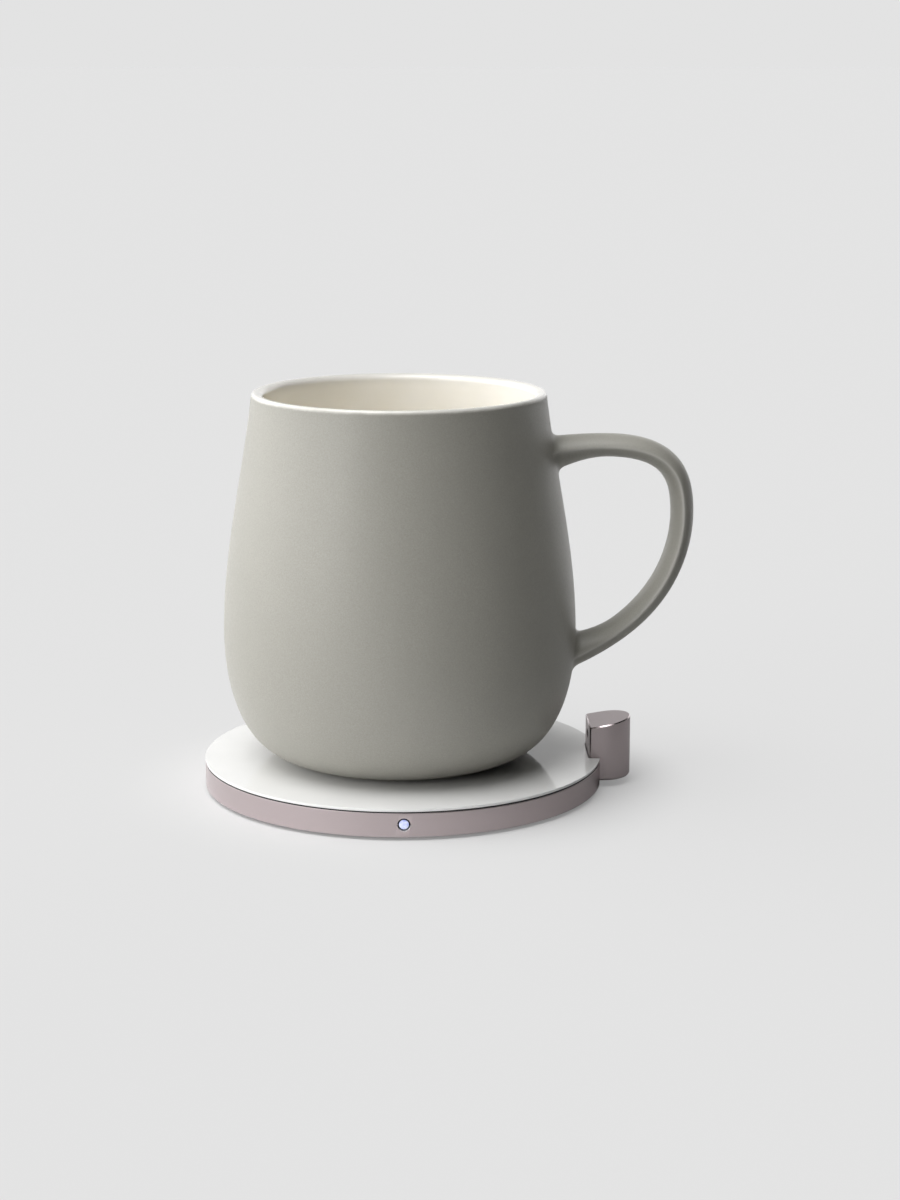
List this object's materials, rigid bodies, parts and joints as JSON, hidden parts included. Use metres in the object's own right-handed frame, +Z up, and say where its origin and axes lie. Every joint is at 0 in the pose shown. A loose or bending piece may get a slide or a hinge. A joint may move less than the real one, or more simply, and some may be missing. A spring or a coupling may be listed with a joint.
{
  "type": "self-heating mug with warming pad",
  "caption": "Round-bellied ceramic mug with a loop handle on a slim round warming pad with glass top, metal rim, lit push button and a D-shaped sensor post at its edge.",
  "frame": {"origin": "centre of the pad's underside, on the table, below the mug's axis", "axes": "+Z up along the mug's axis, +X along the mug's handle and towards the sensor post, -Y towards the button"},
  "size_m": [0.1287, 0.105, 0.1047],
  "materials": {
    "stoneware": "matte grey outside, cream gloss inside and over the lip",
    "heater_metal": "brushed",
    "white_glass": "white backed, polished",
    "black_seal": "matte",
    "mauve_metal": "fine blasted and anodised",
    "dark_plastic": "fine spark texture",
    "silicone": "matte",
    "screw_steel": "bright zinc",
    "copper": "varnished copper strand",
    "ferrite": "sintered",
    "white_plastic": "moulded",
    "bead": "glossy",
    "board": "solder mask",
    "chip_black": "moulded",
    "capacitor_body": "dipped",
    "led_body": "clear",
    "lit_lens": "translucent, lit",
    "socket_metal": "drawn",
    "window_black": "polished",
    "sensor_can": "plated",
    "flex_amber": "film"
  },
  "bodies": {
    "pad": {"glass_top": "white_glass", "glass_gasket": "black_seal", "rim_frame": "mauve_metal", "bottom_cover": "dark_plastic", "non_slip_pad": "silicone", "cover_screws": "screw_steel", "transmitter_coil": "copper", "ferrite_shield": "ferrite", "coil_carrier": "white_plastic", "glass_thermistor": "bead", "control_board": "board", "controller_chip": "chip_black", "power_transistors": "chip_black", "resonance_capacitors": "capacitor_body", "status_led": "led_body", "button_switch": "chip_black", "usb_socket_shell": "socket_metal", "usb_socket_tongue": "chip_black", "post_shell": "mauve_metal", "sensor_window": "window_black", "ir_sensor": "sensor_can", "sensor_board": "board", "sensor_flex": "flex_amber", "post_base": "dark_plastic", "post_screws": "screw_steel"},
    "mug": {"mug_vessel": "stoneware", "mug_handle": "stoneware", "heating_disc": "heater_metal"},
    "button": {"power_button": "lit_lens"}
  },
  "joints": [
    {"name": "mug_lift", "type": "slide", "parent": "pad", "child": "mug", "axis": [0, 0, 1], "range_m": [0, 0.12]},
    {"name": "button_press", "type": "slide", "parent": "pad", "child": "button", "axis": [0, 1, 0], "range_m": [0, 0.00045], "stiffness_N_per_m": 2000}
  ]
}
